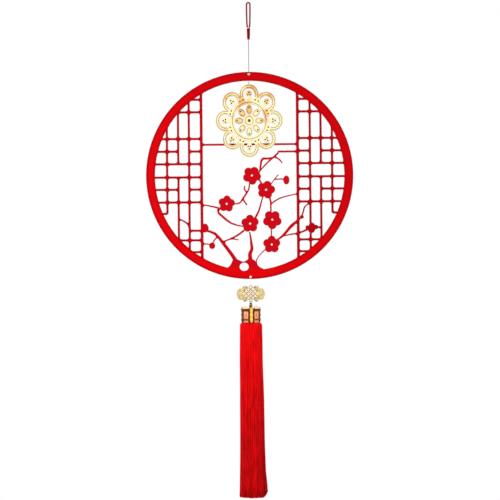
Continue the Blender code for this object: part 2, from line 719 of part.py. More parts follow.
# Tassel: a low round head whose underside is divided into threads that hang down apart

Level = namedtuple("Level", "z left right depth")
TASSEL_LEVELS = (
    Level(TASSEL_ROOT_Z, TASSEL_ROOT_RADIUS, TASSEL_ROOT_RADIUS, TASSEL_ROOT_RADIUS),
    Level(-433.6, 15.0, 15.0, 14.4),
    Level(TASSEL_END_Z, 17.4, 20.6, 16.2),
)


def web(shape, count, radius, z):
    """A round face of 6 * count**2 triangles, in rings about its middle."""
    rings = [[shape.verts.new((0, 0, z))]]
    for k in range(1, count + 1):
        angles = [2 * math.pi * n / (6 * k) for n in range(6 * k)]
        r = radius * k / count
        rings.append([shape.verts.new((r * math.cos(a), r * math.sin(a), z)) for a in angles])
    faces = []
    for k in range(1, count + 1):
        inner, outer = rings[k - 1], rings[k]
        for sector in range(6):
            for n in range(k):
                a = outer[sector * k + n]
                b = outer[(sector * k + n + 1) % len(outer)]
                c = inner[(sector * (k - 1) + n) % len(inner)]
                faces.append(shape.faces.new((a, b, c)))
                if n:
                    d = inner[sector * (k - 1) + n - 1]
                    faces.append(shape.faces.new((a, c, d)))
    return faces


def make_tassel(red_silk):
    random.seed(11)
    shape = bmesh.new()
    strands = web(shape, TASSEL_RINGS, TASSEL_ROOT_RADIUS, TASSEL_ROOT_Z)
    raised = bmesh.ops.extrude_face_region(shape, geom=strands, use_keep_orig=True)["geom"]
    moved = [v for v in raised if isinstance(v, bmesh.types.BMVert)]
    bmesh.ops.translate(shape, verts=moved, vec=(0, 0, TASSEL_HEAD_TOP_Z - TASSEL_ROOT_Z))
    top = [f for f in raised if isinstance(f, bmesh.types.BMFace)]
    bmesh.ops.dissolve_faces(shape, faces=top, use_verts=True)
    bmesh.ops.recalc_face_normals(shape, faces=shape.faces)
    bmesh.ops.inset_individual(shape, faces=strands, thickness=STRAND_INSET, use_even_offset=True)
    for above, level in zip(TASSEL_LEVELS, TASSEL_LEVELS[1:]):
        strands = bmesh.ops.extrude_discrete_faces(shape, faces=strands)["faces"]
        last = level is TASSEL_LEVELS[-1]
        for strand in strands:
            z = level.z + (random.uniform(0, UNEVEN_END) if last else 0.0)
            for corner in strand.verts:
                x, y, _ = corner.co
                wide = level.left / above.left if x < 0 else level.right / above.right
                corner.co = (x * wide, y * level.depth / above.depth, z)
    place("tassel", shape, red_silk)


def main():
    for old in list(bpy.data.objects):
        bpy.data.objects.remove(old)
    red_cord = finish("red cord", (0.55, 0.01, 0.03), 0.7)
    red_thread = finish("red thread", (0.45, 0.03, 0.05), 0.8)
    pale_thread = finish("pale thread", (0.78, 0.74, 0.66), 0.5)
    red_flock = finish("red flock", (0.72, 0.0, 0.01), 0.95)
    gold_foil = finish("gold foil", (0.90, 0.76, 0.42), 0.35, 0.7)
    gold_cord = finish("gold cord", (0.78, 0.62, 0.26), 0.45, 0.5)
    gold_metal = finish("gold metal", (0.80, 0.50, 0.12), 0.25, 0.9)
    orange_enamel = finish("orange enamel", (0.70, 0.25, 0.11), 0.35)
    red_silk = finish("red silk", (0.78, 0.0, 0.02), 0.45)
    dark_bead = finish("dark bead", (0.12, 0.05, 0.02), 0.3)
    make_hanger(red_cord, red_thread)
    make_disc(red_flock)
    make_plate(gold_foil)
    make_short_threads(red_thread, pale_thread)
    make_knot(gold_cord)
    make_bead(dark_bead)
    make_cap(gold_metal, orange_enamel)
    make_tassel(red_silk)


main()
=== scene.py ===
"""Looks of a round hanging: red flocked window with blossoms, gold rosette, gold cord knot and tassel.

Everything is in metres in the frame's axes: Z is up, the origin is the hanging point and the front faces -Y.
"""

import math
import random

import bmesh
import bpy
from mathutils import Matrix, Vector


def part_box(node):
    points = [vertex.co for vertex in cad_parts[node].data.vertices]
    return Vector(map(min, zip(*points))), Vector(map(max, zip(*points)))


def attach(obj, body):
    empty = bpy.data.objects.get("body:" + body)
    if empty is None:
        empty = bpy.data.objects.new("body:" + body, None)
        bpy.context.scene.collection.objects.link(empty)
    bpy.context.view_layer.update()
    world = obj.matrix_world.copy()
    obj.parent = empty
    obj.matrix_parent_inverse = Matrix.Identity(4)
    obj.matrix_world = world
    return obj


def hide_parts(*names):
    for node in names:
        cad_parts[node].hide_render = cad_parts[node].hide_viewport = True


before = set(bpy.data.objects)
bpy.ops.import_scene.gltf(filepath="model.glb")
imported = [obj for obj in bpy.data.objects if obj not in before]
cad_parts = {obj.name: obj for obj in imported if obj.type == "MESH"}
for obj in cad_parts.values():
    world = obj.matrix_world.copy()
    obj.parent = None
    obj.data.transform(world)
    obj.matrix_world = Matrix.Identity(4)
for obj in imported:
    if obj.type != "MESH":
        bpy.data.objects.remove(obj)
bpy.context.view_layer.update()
MM = 0.001

# Camera
# It stands straight in front, level with the middle of the picture. The picture is turned by half a degree,
# so the hanging's axis leans to the right going down.

PICTURE_WIDTH = 0.6757
PICTURE_CENTRE_X = -0.00046
PICTURE_CENTRE_Z = -0.3331
PICTURE_LEAN = 0.00875
CAMERA_DISTANCE = 2.6
camera = bpy.data.objects.new("camera", bpy.data.cameras.new("camera"))
camera.data.lens = camera.data.sensor_width * CAMERA_DISTANCE / PICTURE_WIDTH
picture_right = Vector((1, 0, -PICTURE_LEAN)).normalized()
picture_up = Vector((PICTURE_LEAN, 0, 1)).normalized()
turned_axes = Matrix((picture_right, picture_up, Vector((0, -1, 0)))).transposed()
camera_place = Vector((PICTURE_CENTRE_X, -CAMERA_DISTANCE, PICTURE_CENTRE_Z))
camera.matrix_world = Matrix.Translation(camera_place) @ turned_axes.to_4x4()
bpy.context.scene.collection.objects.link(camera)
bpy.context.scene.camera = camera

# Hanging loop
# A bent length of crimson cord, three strands laid round each other. Its two ends run down into the
# whipping, where they are bound. It is pulled straight by the weight that hangs on it.

LOOP_CORD = 2.3 * MM
LOOP_LAY = 5.2 * MM
LOOP_HALF_WIDTH = 2.3 * MM
WRAP_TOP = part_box("hanger_wrap")[1][2]
TOUCH_GAP = 0.3 * MM
CRIMSON = (0.29, 0.006, 0.014, 1)
DEEP_CRIMSON = (0.15, 0.003, 0.007, 1)


class Value:
    """An output of a material's nodes. Python's operators on it add Math nodes."""

    def __init__(self, tree, socket=None):
        self.tree = tree
        self.socket = socket

    def node(self, kind, settings, sockets, output=0):
        """Adds a node with these settings, fills or links its sockets, and gives one of its outputs."""
        made = self.tree.nodes.new(kind)
        for key, value in settings.items():
            setattr(made, key, value)
        for key, value in sockets.items():
            if isinstance(value, Value):
                self.tree.links.new(value.socket, made.inputs[key])
            else:
                made.inputs[key].default_value = value
        return Value(self.tree, made.outputs[output])

    def math(self, operation, *values):
        return self.node("ShaderNodeMath", {"operation": operation}, dict(enumerate(values)))

    def __add__(self, other):
        return self.math("ADD", self, other)

    def __radd__(self, other):
        return self.math("ADD", other, self)

    def __sub__(self, other):
        return self.math("SUBTRACT", self, other)

    def __rsub__(self, other):
        return self.math("SUBTRACT", other, self)

    def __mul__(self, other):
        return self.math("MULTIPLY", self, other)

    def __rmul__(self, other):
        return self.math("MULTIPLY", other, self)

    def mixed(self, first, second):
        """The first colour where this value is 0, and the second where it is 1."""
        sockets = {0: self, 6: first, 7: second}
        return self.node("ShaderNodeMix", {"data_type": "RGBA"}, sockets, 2)

    def place(self):
        """The object's own coordinates."""
        return self.node("ShaderNodeTexCoord", {}, {}, 3)

    def axis(self, name):
        """One of the object's own coordinates."""
        return self.node("ShaderNodeSeparateXYZ", {}, {"Vector": self.place()}, "XYZ".index(name))

    def noise(self, scale, detail=2.0):
        """Noise on the object's own coordinates, in lumps of about 1 / scale metres."""
        sockets = {"Vector": self.place(), "Scale": scale, "Detail": detail}
        return self.node("ShaderNodeTexNoise", {}, sockets)

    def spread(self, low, high):
        """This value, stretched so that low becomes 0 and high becomes 1."""
        return self.node("ShaderNodeMapRange", {}, {"Value": self, "From Min": low, "From Max": high})

    def normal(self, axis):
        """One axis of the way that the surface faces."""
        facing = self.node("ShaderNodeNewGeometry", {}, {}, 1)
        return self.node("ShaderNodeSeparateXYZ", {}, {"Vector": facing}, "XYZ".index(axis))

    def attribute(self, name):
        """A number stored in the mesh."""
        return self.node("ShaderNodeAttribute", {"attribute_name": name}, {}, 2)

    def feed(self, shader, name):
        self.tree.links.new(self.socket, shader.inputs[name])

    def bump(self, shader, depth, strength=1.0):
        """Raises the surface by this value times the depth in metres."""
        sockets = {"Strength": strength, "Distance": depth, "Height": self}
        self.node("ShaderNodeBump", {}, sockets).feed(shader, "Normal")


def new_finish(name, roughness, constants):
    """A material, its shader with the constants on its own sockets, and a value to start patterns from."""
    material = bpy.data.materials.new(name)
    material.use_nodes = True
    shader = material.node_tree.nodes["Principled BSDF"]
    shader.inputs["Roughness"].default_value = roughness
    for key, value in constants.items():
        shader.inputs[key].default_value = value
    return material, shader, Value(material.node_tree)


def add_piece(name, mesh, material, slot, *nodes):
    """A finished mesh as a piece of the hanging. It stands for the frame's nodes that are named."""
    piece = bpy.data.objects.new(name, mesh)
    mesh.name = name
    if not mesh.materials:
        mesh.materials.append(material)
    bpy.context.scene.collection.objects.link(piece)
    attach(piece, "root")
    if nodes:
        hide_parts(*nodes)
    return piece


def mesh_of(curve):
    """The mesh that a curve makes, with its seams closed and its faces pointing out."""
    holder = bpy.data.objects.new("holder", curve)
    bpy.context.scene.collection.objects.link(holder)
    evaluated = holder.evaluated_get(bpy.context.evaluated_depsgraph_get())
    mesh = bpy.data.meshes.new_from_object(evaluated)
    bpy.data.objects.remove(holder)
    shape = bmesh.new()
    shape.from_mesh(mesh)
    bmesh.ops.remove_doubles(shape, verts=shape.verts, dist=1e-7)
    bmesh.ops.recalc_face_normals(shape, faces=shape.faces)
    shape.to_mesh(mesh)
    shape.free()
    mesh.shade_smooth()
    return mesh


def smooth_route(stations, count):
    """Points evenly spaced along a smooth curve through the stations."""
    line = [Vector(p) for p in stations]
    line = [2 * line[0] - line[1], *line, 2 * line[-1] - line[-2]]
    fine = []
    for p0, p1, p2, p3 in zip(line, line[1:], line[2:], line[3:]):
        for step in range(24):
            t = step / 24
            bend = (2 * p0 - 5 * p1 + 4 * p2 - p3) * t**2 + (3 * p1 - p0 - 3 * p2 + p3) * t**3
            fine.append(0.5 * (2 * p1 + (p2 - p0) * t + bend))
    fine.append(line[-2])
    along = [0.0]
    for a, b in zip(fine, fine[1:]):
        along.append(along[-1] + (b - a).length)
    spaced, k = [], 0
    for n in range(count):
        target = along[-1] * n / (count - 1)
        while k < len(fine) - 2 and along[k + 1] < target:
            k += 1
        share = (target - along[k]) / (along[k + 1] - along[k])
        spaced.append(fine[k].lerp(fine[k + 1], share))
    return spaced


def route_length(route):
    """The length of a line through the points of a route."""
    return sum((b - a).length for a, b in zip(route, route[1:]))


def laid_cord(routes, diameter, lay, plies=3, closed=False):
    """The mesh of cords along the routes, each of a few strands that turn once round in the length lay."""
    section = bpy.data.curves.new("section", "CURVE")
    outline = section.splines.new("POLY")
    outline.points.add(4 * plies - 1)
    for k, point in enumerate(outline.points):
        angle = 2 * math.pi * k / len(outline.points)
        radius = diameter / 2 * (0.93 + 0.07 * math.cos(plies * angle))
        point.co = (radius * math.cos(angle), radius * math.sin(angle), 0, 1)
    outline.use_cyclic_u = True
    section_holder = bpy.data.objects.new("section", section)
    bpy.context.scene.collection.objects.link(section_holder)
    curve = bpy.data.curves.new("cord", "CURVE")
    curve.dimensions = "3D"
    curve.bevel_mode = "OBJECT"
    curve.bevel_object = section_holder
    curve.use_fill_caps = not closed
    curve.render_resolution_u = 0
    for route in routes:
        spline = curve.splines.new("POLY")
        spline.points.add(len(route) - 1)
        whole = route_length(route + route[:1]) if closed else route_length(route)
        turns = max(1, round(plies * whole / lay)) / plies
        along = 0.0
        for k, (point, at) in enumerate(zip(spline.points, route)):
            along += (Vector(at) - Vector(route[k - 1])).length if k else 0.0
            point.co = (*at, 1)
            point.tilt = 2 * math.pi * turns * along / whole
        spline.use_cyclic_u = closed
    mesh = mesh_of(curve)
    bpy.data.objects.remove(section_holder)
    return mesh


def cord_finish(name, bright, deep, roughness, constants):
    """Soft fibres: fine fuzz in the surface and a colour that is deeper in patches."""
    material, shader, start = new_finish(name, roughness, constants)
    start.noise(700.0).mixed(deep, bright).feed(shader, "Base Color")
    start.noise(5200.0).bump(shader, 0.00012, 0.6)
    return material


DULL_FIBRE = {"Specular IOR Level": 0.05}
red_cord = cord_finish("red cord", CRIMSON, DEEP_CRIMSON, 0.9, DULL_FIBRE)
wrap_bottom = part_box("hanger_wrap")[0][2]
loop_foot = WRAP_TOP + TOUCH_GAP
loop_top = LOOP_CORD / 2
loop_leg = (LOOP_CORD + TOUCH_GAP) / 2
loop_side = [
    (loop_leg, loop_foot),
    (LOOP_HALF_WIDTH * 0.74, loop_foot + 2.6 * MM),
    (LOOP_HALF_WIDTH * 0.9, loop_foot + 8 * MM),
    (LOOP_HALF_WIDTH, loop_top - 10 * MM),
    (LOOP_HALF_WIDTH, loop_top - LOOP_HALF_WIDTH - 1.2 * MM),
]
for degrees in (0, 30, 60):
    angle = math.radians(degrees)
    rise = LOOP_HALF_WIDTH * (math.sin(angle) - 1)
    loop_side.append((LOOP_HALF_WIDTH * math.cos(angle), loop_top + rise))
loop_stations = [(-x, 0, z) for x, z in loop_side] + [(0, 0, loop_top)]
loop_stations += [(x, 0, z) for x, z in loop_side[::-1]]
loop_route = smooth_route(loop_stations, 190)
loop_mesh = laid_cord([loop_route], LOOP_CORD, LOOP_LAY)
loop = add_piece("loop_cord", loop_mesh, red_cord, "red_cord", "hanger_loop")
tuple(loop_route[0])
route_length(loop_route)
[tuple(p) for p in loop_route]

# Whipping
# Finer cord of the same red, wound tightly round both legs of the loop from the top down and pulled in at
# its end. A straight core of the same cord fills its inside.

WRAP_TURNS = 11
WRAP_CORD = 1.5 * MM
WRAP_LAY = 4.2 * MM
WRAP_RADIUS = 2.5 * MM
POINTS_A_TURN = 20
wrap_route = []
wrap_fall = (WRAP_TOP - wrap_bottom - WRAP_CORD) / WRAP_TURNS
for step in range(WRAP_TURNS * POINTS_A_TURN + 1):
    turn = step / POINTS_A_TURN
    pulled_in = min(1.0, 0.6 + turn, (WRAP_TURNS - turn) * 0.8)
    radius = (WRAP_RADIUS - WRAP_CORD / 2) * (1 - 0.24 * turn / WRAP_TURNS) * (0.65 + 0.35 * pulled_in)
    angle = 2 * math.pi * turn
    height = WRAP_TOP - WRAP_CORD / 2 - wrap_fall * turn
    wrap_route.append(Vector((radius * math.cos(angle), radius * math.sin(angle), height)))
core_top = Vector((0, 0, WRAP_TOP - 0.4 * MM))
core_foot = Vector((0, 0, wrap_bottom + 0.2 * MM))
core_route = [core_top.lerp(core_foot, k / 30) for k in range(31)]
wrap_mesh = laid_cord([wrap_route, core_route], WRAP_CORD, WRAP_LAY)
add_piece("whipping", wrap_mesh, red_cord, "red_cord", "hanger_wrap")

# Hanging thread
# A thin dark red thread. It leaves the whipping, goes down through the hole at the top of the window's
# rim, and back up into the whipping.

THREAD = 0.8 * MM
THREAD_LAY = 2.4 * MM
BOARD = 3.0 * MM
RIM_HOLE_EDGE = -93.7 * MM
THREAD_RED = (0.17, 0.006, 0.008, 1)
THREAD_SHADE = (0.08, 0.003, 0.004, 1)
red_thread = cord_finish("red thread", THREAD_RED, THREAD_SHADE, 0.9, DULL_FIBRE)
thread_bend = BOARD / 2 + TOUCH_GAP + THREAD / 2
thread_side = [
    ((THREAD + TOUCH_GAP) / 2, wrap_bottom - TOUCH_GAP),
    ((THREAD + TOUCH_GAP) / 2 + 0.2 * MM, wrap_bottom - 8 * MM),
    (thread_bend * 0.75, RIM_HOLE_EDGE + 18 * MM),
    (thread_bend, RIM_HOLE_EDGE + 2 * MM),
]
thread_stations = [(0, -y, z) for y, z in thread_side]
for degrees in (0, 30, 60, 90, 120, 150, 180):
    angle = math.radians(degrees)
    low = RIM_HOLE_EDGE - thread_bend * math.sin(angle)
    thread_stations.append((0, -thread_bend * math.cos(angle), low))
thread_stations += [(0, y, z) for y, z in thread_side[::-1]]
thread_route = smooth_route(thread_stations, 320)
thread_mesh = laid_cord([thread_route], THREAD, THREAD_LAY, 2)
thread = add_piece("hanging_thread", thread_mesh, red_thread, "red_thread", "hanger_thread")
tuple(thread_route[0])
route_length(thread_route)
[tuple(p) for p in thread_route]

# Short threads
# A dark red one ties the gold rosette to the rim's inner edge. A pale one is a closed loop from the hole at
# the foot of the rim to the eye of the gold knot.

PALE_THREAD = (0.80, 0.76, 0.70, 1)
PALE_SHADE = (0.66, 0.62, 0.56, 1)
tie_low, tie_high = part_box("ornament_thread")
tie_y = tie_low[1] + THREAD / 2
tie_stations = [
    (0, 0, tie_high[2] - 0.1 * MM),
    (0, tie_y / 2, tie_high[2] - 2.4 * MM),
    (0, tie_y, tie_low[2] + 2.6 * MM),
    (0, tie_y, tie_low[2] + 0.1 * MM),
]
tie_mesh = laid_cord([smooth_route(tie_stations, 24)], THREAD, THREAD_LAY, 2)
add_piece("rosette_thread", tie_mesh, red_thread, "red_thread", "ornament_thread")

pale_thread = cord_finish("pale thread", PALE_THREAD, PALE_SHADE, 0.6, {})
link_low, link_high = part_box("lower_thread")
link_upper = link_high[2] - THREAD / 2 - thread_bend
link_lower = link_low[2] + THREAD / 2 + thread_bend
link_route = []
for side, start, end in ((1, link_upper, link_lower), (-1, link_lower, link_upper)):
    for k in range(19):
        angle = math.pi * k / 18
        bend_y = side * thread_bend * math.cos(angle)
        link_route.append(Vector((0, bend_y, start + side * thread_bend * math.sin(angle))))
    for k in range(1, 13):
        link_route.append(Vector((0, -side * thread_bend, start + (end - start) * k / 13)))
link_mesh = laid_cord([link_route], THREAD, THREAD_LAY, 2, closed=True)
add_piece("link_thread", link_mesh, pale_thread, "pale_thread", "lower_thread")

# Window board
# One round of 3 mm board cut through to a rim, a window lattice left and right, and a blossoming branch
# between them, then flocked all over with short red pile, so that its corners and edges are soft. Shade is
# painted into the pile's colour: darker towards the upper right, on the rim's outer edge and the foot of its
# inner edge, on the lattice bars, most on the right, and where the edges turn away from the front.

CELL_CORNER = 3.0 * MM
OUTER_CORNER = 0.7 * MM
SOFT_EDGE = 0.6 * MM
GENTLE_TURN = math.radians(40)
GENTLE_RADIUS = 1.0
DISC_Z = (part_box("disc")[0][2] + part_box("disc")[1][2]) / 2
PILE_RED = (0.60, 0.0003, 0.002, 1)
PILE_SHADE = (0.42, 0.0003, 0.002, 1)
RIM_SHADE = (0.33, 0.0003, 0.002, 1)
BAR_RED = (0.45, 0.0015, 0.006, 1)
BAR_SHADE = (0.32, 0.001, 0.004, 1)
EDGE_SHADE_RED = (0.12, 0.0005, 0.003, 1)
RIM_OUTER_EDGE = (0.1360, 0.1393)
RIM_INNER_EDGE = (0.1318, 0.1285)
RIM_FOOT = (-0.1245, -0.1205)
OPENWORK_EDGE = (0.1200, 0.1290)
RIGHT_LATTICE = (0.061, 0.066)
LEFT_LATTICE = (-0.061, -0.066)


def outlines(node):
    """A node's front outlines, the material on their left, each from its leftmost (x, z) point."""
    shape = bmesh.new()
    shape.from_mesh(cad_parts[node].data)
    bmesh.ops.remove_doubles(shape, verts=shape.verts, dist=1e-7)
    fronts = {f for f in shape.faces if f.normal.y < -0.9}
    following = {}
    for face in fronts:
        for loop in face.loops:
            other = [f for f in loop.edge.link_faces if f is not face]
            if other and other[0] not in fronts:
                following[loop.vert] = loop.link_loop_next.vert
    rounds = []
    while following:
        start = min(following, key=lambda v: (v.co.x, v.co.z))
        line = [start]
        end = following.pop(start)
        while end is not start:
            line.append(end)
            end = following.pop(end)
        rounds.append([Vector((v.co.x, v.co.z)) for v in line])
    shape.free()
    return rounds


def rounded(outline, inner_corner, outer_corner, step=math.radians(18)):
    """The outline with an arc at each corner. Corners into the material get the inner radius."""
    points = []
    for k, here in enumerate(outline):
        before = here - outline[k - 1]
        after = outline[(k + 1) % len(outline)] - here
        turn = before.angle_signed(after, 0.0)
        sharp = abs(turn)
        if sharp < 0.02:
            points.append(here)
            continue
        wanted = inner_corner if turn > 0 else outer_corner
        if sharp < GENTLE_TURN:
            wanted = GENTLE_RADIUS
        reach = min(wanted * math.tan(sharp / 2), 0.45 * before.length, 0.45 * after.length)
        first = here - before.normalized() * reach
        last = here + after.normalized() * reach
        count = max(1, math.ceil(sharp / step))
        for n in range(count + 1):
            t = n / count
            points.append(first * (1 - t) ** 2 + here * 2 * t * (1 - t) + last * t**2)
    return points


def cut_board(rounds, back, front, edge, steps=2, inset=0.0):
    """A board from y = back to y = front with these outlines, drawn in by inset and rounded by edge."""
    curve = bpy.data.curves.new("board", "CURVE")
    curve.dimensions = "2D"
    curve.fill_mode = "BOTH"
    curve.extrude = (back - front) / 2 - edge
    curve.bevel_depth = edge
    curve.bevel_resolution = steps
    curve.offset = -edge - inset
    curve.render_resolution_u = 0
    for outline in rounds:
        spline = curve.splines.new("POLY")
        spline.points.add(len(outline) - 1)
        for point, at in zip(spline.points, outline):
            point.co = (at.x, at.y, 0, 1)
        spline.use_cyclic_u = True
    mesh = mesh_of(curve)
    mesh.transform(Matrix.Translation((0, (back + front) / 2, 0)) @ Matrix.Rotation(math.pi / 2, 4, "X"))
    for face in mesh.polygons:
        face.use_smooth = abs(face.normal.y) < 0.999
    return mesh


flock, flock_shader, flock_start = new_finish("red flock", 0.95, {"Specular IOR Level": 0.04})
patches = flock_start.noise(38.0, 3.0) * 0.6 + flock_start.noise(1500.0) * 0.4
off_x = flock_start.axis("X")
off_z = flock_start.axis("Z") - DISC_Z
# Painted shade: the pile is darker towards the upper right and lighter towards the lower left.
painted_light_slope = (off_x + off_z).spread(0.14, -0.14)
pile_colour = (patches.spread(0.38, 0.6) * 0.3 + painted_light_slope * 0.7).mixed(PILE_SHADE, PILE_RED)
from_middle = flock_start.math("SQRT", off_x * off_x + off_z * off_z)
# Painted shade on the rim's outer edge and on its inner edge near the foot.
inner_edge = from_middle.spread(*RIM_INNER_EDGE) * off_z.spread(*RIM_FOOT) * 0.8
pile_colour = (from_middle.spread(*RIM_OUTER_EDGE) + inner_edge).mixed(pile_colour, RIM_SHADE)
# Painted shade on the lattice bars: full on the right, weaker on the left.
painted_lattice_shade = off_x.spread(*RIGHT_LATTICE) + off_x.spread(*LEFT_LATTICE) * 0.6
bar_colour = painted_lattice_shade.mixed(BAR_RED, BAR_SHADE)
pile_colour = from_middle.spread(*OPENWORK_EDGE).mixed(bar_colour, pile_colour)
# Painted shade where the surface turns away from the front, on the rounded and cut edges.
facing = flock_start.math("ABSOLUTE", flock_start.normal("Y"))
facing.spread(0.6, 1.0).mixed(EDGE_SHADE_RED, pile_colour).feed(flock_shader, "Base Color")
flock_start.noise(2600.0, 3.0).bump(flock_shader, 0.00025, 0.7)
board_low, board_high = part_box("disc")
board_rounds = [rounded(line, CELL_CORNER, OUTER_CORNER) for line in outlines("disc")]
board_mesh = cut_board(board_rounds, board_high[1], board_low[1], SOFT_EDGE)
add_piece("window_board", board_mesh, flock, "red_flock", "disc")

# Gold rosette
# Two plates glued together on the front of the window's bar: a brown board behind, and over it a face of
# pale gold foil cut a little smaller. Fine lines and dots are stamped through the foil, down to the board.

FOIL_THICKNESS = 0.9 * MM
FOIL_INSET = 0.18 * MM
FOIL_EDGE = 0.12 * MM
PLATE_CORNER = 0.8 * MM
ROSETTE_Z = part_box("ornament")[0][2] / 2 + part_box("ornament")[1][2] / 2
LINE_HALF_WIDTH = 0.14
DOT_RADIUS = 0.95
LOBES = 8
LOBE_DISTANCE = 34.0
LOBE_RADIUS = 14.0
LOBE_BAND = 5.8
LOBE_OPENING = math.radians(52)
LOBE_LINES = (1.5, 4.3)
LINE_STOPS_SHORT = 0.35
LOBE_DOTS = ((33.8, -1.6), (33.8, 1.6), (37.0, 0.0))
PETAL_DISTANCE = 14.5
RING_RADII = (24.1, 5.6)
MIDDLE_HOLE = 2.0
PALE_GOLD = (0.90, 0.77, 0.43, 1)
WARM_GOLD = (0.74, 0.40, 0.12, 1)
BROWN_BOARD = (0.07, 0.032, 0.012, 1)
PALE_FIBRE = (0.13, 0.065, 0.025, 1)


def arc(centre, radius, start, end, count, tall=1.0):
    """Points along an arc in the plane of the rosette, in millimetres."""
    angles = [start + (end - start) * k / count for k in range(count + 1)]
    return [centre + Vector((radius * math.cos(a), tall * radius * math.sin(a))) for a in angles]


def stamped_ring(centre, radius, tall=1.0, turn=0.0):
    """A thin closed line, as the two outlines on its sides."""
    both = []
    for r in (radius - LINE_HALF_WIDTH, radius + LINE_HALF_WIDTH):
        spots = arc(Vector((0, 0)), r, 0, 2 * math.pi, 36, tall)[:-1]
        both.append([centre + Matrix.Rotation(turn, 2) @ spot for spot in spots])
    return both


def stamped_arc(centre, radius, start, end):
    """A thin open line along an arc, as one outline."""
    outside = arc(centre, radius + LINE_HALF_WIDTH, start, end, 22)
    return outside + arc(centre, radius - LINE_HALF_WIDTH, start, end, 22)[::-1]


def stamped_dot(centre, radius=DOT_RADIUS, corners=12):
    """A round hole, as its outline."""
    return arc(centre, radius, 0, 2 * math.pi, corners)[:-1]


stamps = []
for radius in RING_RADII:
    stamps += stamped_ring(Vector((0, 0)), radius)
for k in range(LOBES):
    angle = math.pi / 2 + 2 * math.pi * k / LOBES
    out = Vector((math.cos(angle), math.sin(angle)))
    across = Vector((-out.y, out.x))
    lobe = out * LOBE_DISTANCE
    first = angle - math.pi + LOBE_OPENING
    last = angle + math.pi - LOBE_OPENING
    for inset in LOBE_LINES:
        line_start = first + LINE_STOPS_SHORT
        stamps.append(stamped_arc(lobe, LOBE_RADIUS - inset, line_start, last - LINE_STOPS_SHORT))
    for end in (first, last):
        curl = lobe + Vector((math.cos(end), math.sin(end))) * (LOBE_RADIUS - LOBE_BAND / 2)
        stamps.append(stamped_dot(curl))
    for along, off in LOBE_DOTS:
        stamps.append(stamped_dot(out * along + across * off))
    stamps.append(stamped_dot(out * (PETAL_DISTANCE + 2.6)))
    stamps += stamped_ring(out * PETAL_DISTANCE, 5.0, 0.62, angle)
stamps.append(stamped_dot(Vector((0, 0)), MIDDLE_HOLE, 16))
plate_low, plate_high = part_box("ornament")
fit_x = (plate_high[0] - plate_low[0]) / 2 / (LOBE_DISTANCE + LOBE_RADIUS)
fit_z = (plate_high[2] - plate_low[2]) / 2 / (LOBE_DISTANCE + LOBE_RADIUS)
stamps = [[Vector((p.x * fit_x, p.y * fit_z + ROSETTE_Z)) for p in stamp] for stamp in stamps]
plate_rounds = [rounded(line, PLATE_CORNER, PLATE_CORNER) for line in outlines("ornament")]
foil_back = plate_low[1] + FOIL_THICKNESS
brown_board, brown_shader, brown_start = new_finish("brown board", 0.7, {})
fibre_colour = brown_start.noise(800.0).spread(0.3, 0.7).mixed(BROWN_BOARD, PALE_FIBRE)
fibre_colour.feed(brown_shader, "Base Color")
backing_mesh = cut_board(plate_rounds, plate_high[1], foil_back, FOIL_EDGE)
add_piece("rosette_board", backing_mesh, brown_board, "gold_foil", "ornament")
gold_foil, foil_shader, foil_start = new_finish("gold foil", 0.34, {"Metallic": 0.6})
# Painted reflection: the foil turns warmer and deeper gold towards the top, with random patches.
tone_and_painted_reflection = foil_start.noise(60.0, 3.0) + (foil_start.axis("Z") - ROSETTE_Z) * 2.6
tone_and_painted_reflection.spread(0.5, 0.72).mixed(PALE_GOLD, WARM_GOLD).feed(foil_shader, "Base Color")
foil_start.noise(900.0, 3.0).bump(foil_shader, 0.0001, 0.35)
foil_mesh = cut_board(plate_rounds + stamps, foil_back, plate_low[1], FOIL_EDGE, inset=FOIL_INSET)
add_piece("rosette_face", foil_mesh, gold_foil, "gold_foil", "ornament")

# Gold knot
# Pale gold cord, laid double and woven over and under on the diagonal into a square on its corner, with
# bights along its edges, ears of cord laid two and three times round at its sides, an eye at the top for
# the link thread, and a small ring at its foot.

KNOT_CORD = 1.85 * MM
KNOT_LAY = 2.6 * MM
PAIR_PITCH = 4.2 * MM
PAIRS = 4
KNOT_Z = -392.2 * MM
WEAVE_RISE = 0.9 * MM
EARS = ((13.3, -0.4, 5.9, 8.0, 3), (7.7, 7.3, 3.9, 3.7, 2), (7.9, -7.2, 4.0, 3.6, 2))
EYE = (0.0, 8.6, 2.0, 2.0, 32)
NECK = (0.0, -9.6, 1.4, 1.0, 24)
PALE_YELLOW = (0.98, 0.86, 0.42, 1)
ROSE_CREAM = (1.0, 0.84, 0.60, 1)
WEAVE_SHADE_OLIVE = (0.24, 0.14, 0.035, 1)
EAR_SHADE_OLIVE = (0.62, 0.45, 0.08, 1)
EAR_SIDE = (0.006, 0.011)
CORD_FRONT = (0.0006, 0.0015)


def knot_ring(x, z, half_width, half_height, count, wave=0.0, start=0):
    """A closed route round a point given from the knot's middle, in millimetres. Wave bends it in depth."""
    route = []
    for k in range(count):
        angle = 2 * math.pi * k / count
        lift = wave * math.sin(angle * 3 + start)
        across = x + half_width * math.cos(angle)
        height = KNOT_Z + (z + half_height * math.sin(angle)) * MM
        route.append(Vector((across * MM, lift * MM, height)))
    return route


